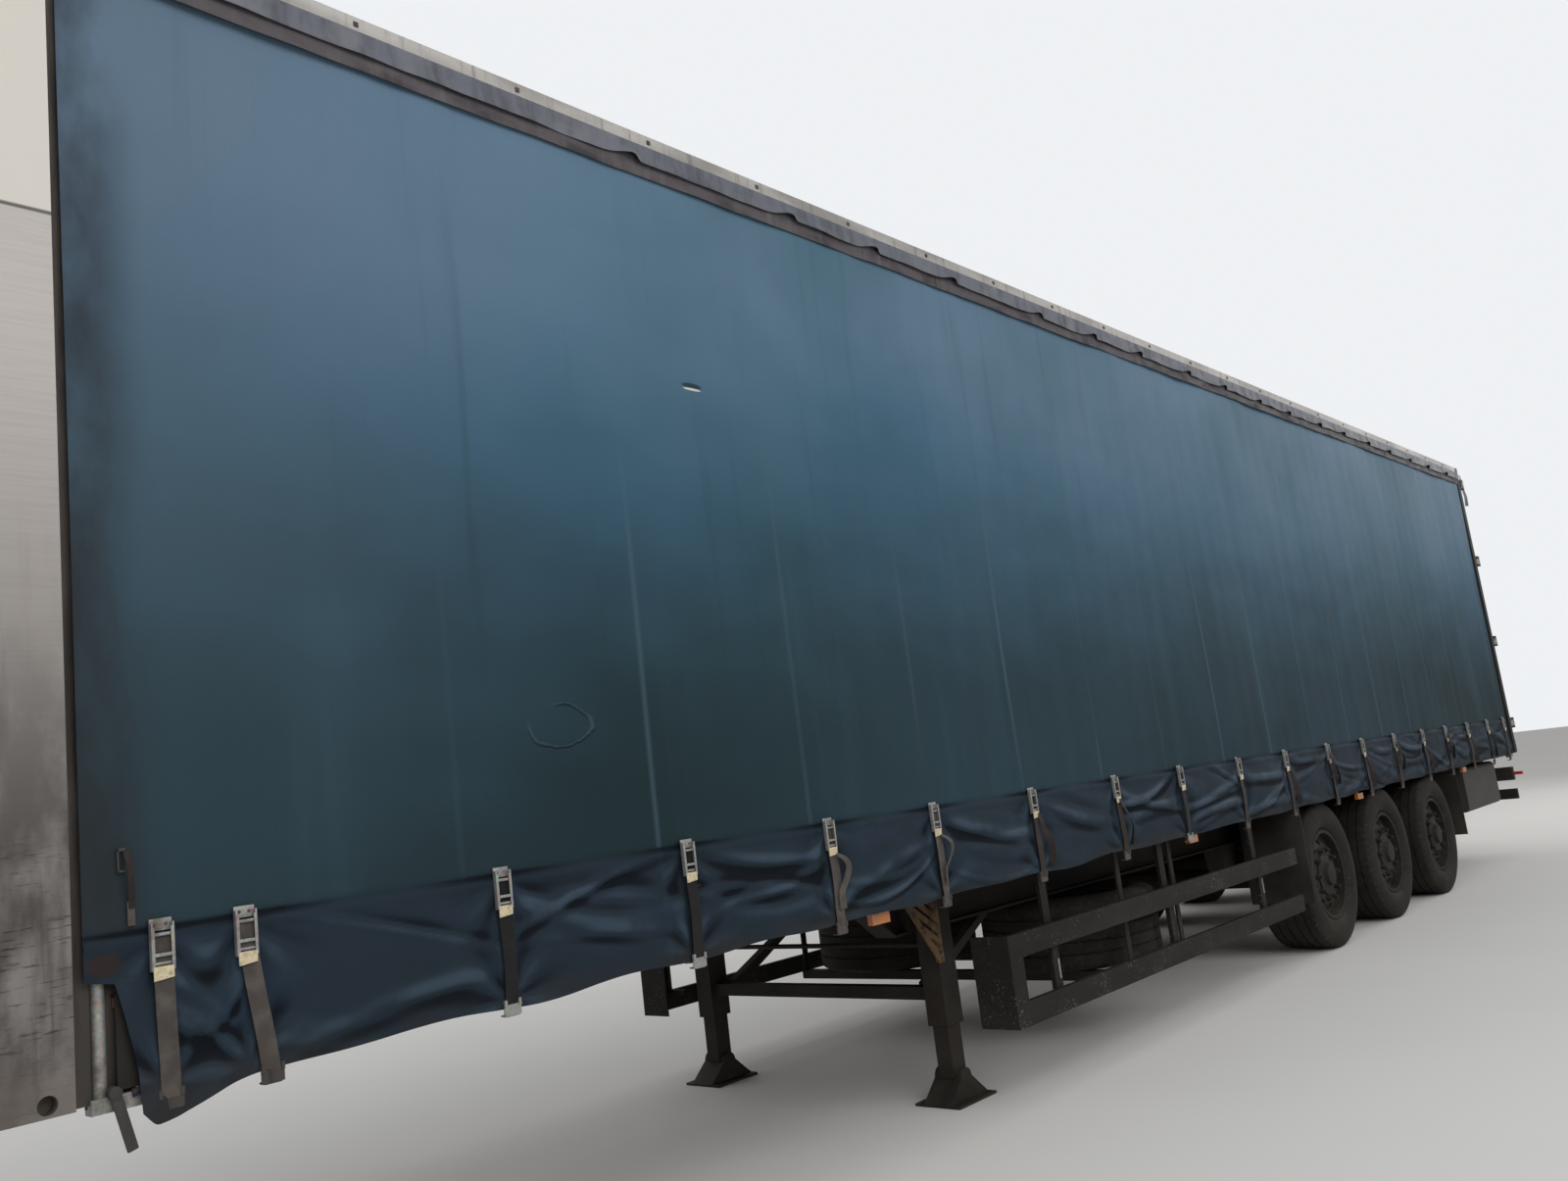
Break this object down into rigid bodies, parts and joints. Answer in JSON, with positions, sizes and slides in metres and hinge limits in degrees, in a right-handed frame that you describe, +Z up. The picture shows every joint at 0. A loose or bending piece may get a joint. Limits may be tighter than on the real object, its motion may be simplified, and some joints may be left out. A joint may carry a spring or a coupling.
{
  "type": "curtain-sided semi trailer",
  "caption": "Box-shaped semi trailer with cloth side curtains, axles at the rear, hinged rear doors, landing legs and a kingpin at the front.",
  "frame": {"origin": "on the ground below the middle of the trailer's box", "axes": "+X forward to the kingpin end, +Y to the left side, +Z up"},
  "size_m": [13.75, 2.57, 4],
  "materials": {
    "frame_paint": "satin chassis paint under road dust",
    "plywood": "film-faced plywood",
    "bare_steel": "greased and worn steel",
    "aluminium": "dirty mill-finish extrusion",
    "black_plastic": "matt moulding",
    "rubber": "matt",
    "roof_cloth": "coated translucent cloth",
    "curtain_cloth": "coated cloth, faded and dirty",
    "galvanised": "dull zinc coating",
    "strap_web": "woven webbing",
    "tyre": "worn tread, dusty sidewall",
    "wheel_paint": "black wheel paint with brake dust",
    "guard_metal": "grey coating, stone chipped",
    "door_panel": "dirty grey panel paint",
    "red_lens": "lamp lens",
    "amber_lens": "lamp lens"
  },
  "bodies": {
    "chassis": {"main_beams": "frame_paint", "cross_members": "frame_paint", "side_raves": "frame_paint", "load_floor": "plywood", "coupling_plate": "bare_steel", "front_posts": "aluminium", "front_wall": "aluminium", "service_couplings": "black_plastic", "rear_frame": "frame_paint", "rear_buffers": "rubber", "roof_rails": "aluminium", "roof_bows": "aluminium", "roof_cover": "roof_cloth", "side_posts": "aluminium", "curtain_left": "curtain_cloth", "curtain_right": "curtain_cloth", "curtain_poles": "galvanised", "curtain_buckles": "galvanised", "curtain_straps": "strap_web", "spare_tyres": "tyre", "spare_rims": "wheel_paint", "axle_beams": "frame_paint", "suspension_hangers": "frame_paint", "trailing_arms": "frame_paint", "air_springs": "rubber", "landing_legs": "frame_paint", "landing_feet": "bare_steel", "landing_crank": "galvanised", "side_guards": "guard_metal", "spare_carrier": "galvanised", "air_tanks": "frame_paint", "tool_box": "black_plastic", "mudflaps": "rubber", "underrun_bar": "guard_metal", "lamp_beam": "frame_paint", "rear_lamps": "red_lens", "side_markers": "amber_lens"},
    "left_wheel_1": {"tyre_left_1": "tyre", "wheel_left_1": "wheel_paint"},
    "left_wheel_2": {"tyre_left_2": "tyre", "wheel_left_2": "wheel_paint"},
    "left_wheel_3": {"tyre_left_3": "tyre", "wheel_left_3": "wheel_paint"},
    "right_wheel_1": {"tyre_right_1": "tyre", "wheel_right_1": "wheel_paint"},
    "right_wheel_2": {"tyre_right_2": "tyre", "wheel_right_2": "wheel_paint"},
    "right_wheel_3": {"tyre_right_3": "tyre", "wheel_right_3": "wheel_paint"},
    "left_door": {"rear_door_left": "door_panel", "door_gear_left": "galvanised"},
    "right_door": {"rear_door_right": "door_panel", "door_gear_right": "galvanised"}
  },
  "joints": [
    {"name": "left_wheel_1_spin", "type": "hinge", "parent": "chassis", "child": "left_wheel_1", "pos_m": [-1.204, 1.02, 0.49], "axis": [0, 1, 0], "continuous": true},
    {"name": "left_wheel_2_spin", "type": "hinge", "parent": "chassis", "child": "left_wheel_2", "pos_m": [-2.514, 1.02, 0.49], "axis": [0, 1, 0], "continuous": true},
    {"name": "left_wheel_3_spin", "type": "hinge", "parent": "chassis", "child": "left_wheel_3", "pos_m": [-3.824, 1.02, 0.49], "axis": [0, 1, 0], "continuous": true},
    {"name": "right_wheel_1_spin", "type": "hinge", "parent": "chassis", "child": "right_wheel_1", "pos_m": [-1.204, -1.02, 0.49], "axis": [0, 1, 0], "continuous": true},
    {"name": "right_wheel_2_spin", "type": "hinge", "parent": "chassis", "child": "right_wheel_2", "pos_m": [-2.514, -1.02, 0.49], "axis": [0, 1, 0], "continuous": true},
    {"name": "right_wheel_3_spin", "type": "hinge", "parent": "chassis", "child": "right_wheel_3", "pos_m": [-3.824, -1.02, 0.49], "axis": [0, 1, 0], "continuous": true},
    {"name": "left_door_hinge", "type": "hinge", "parent": "chassis", "child": "left_door", "pos_m": [-6.855, 1.268, 2.5], "axis": [0, 0, -1], "range_deg": [0, 270]},
    {"name": "right_door_hinge", "type": "hinge", "parent": "chassis", "child": "right_door", "pos_m": [-6.855, -1.268, 2.5], "axis": [0, 0, 1], "range_deg": [0, 270]}
  ]
}
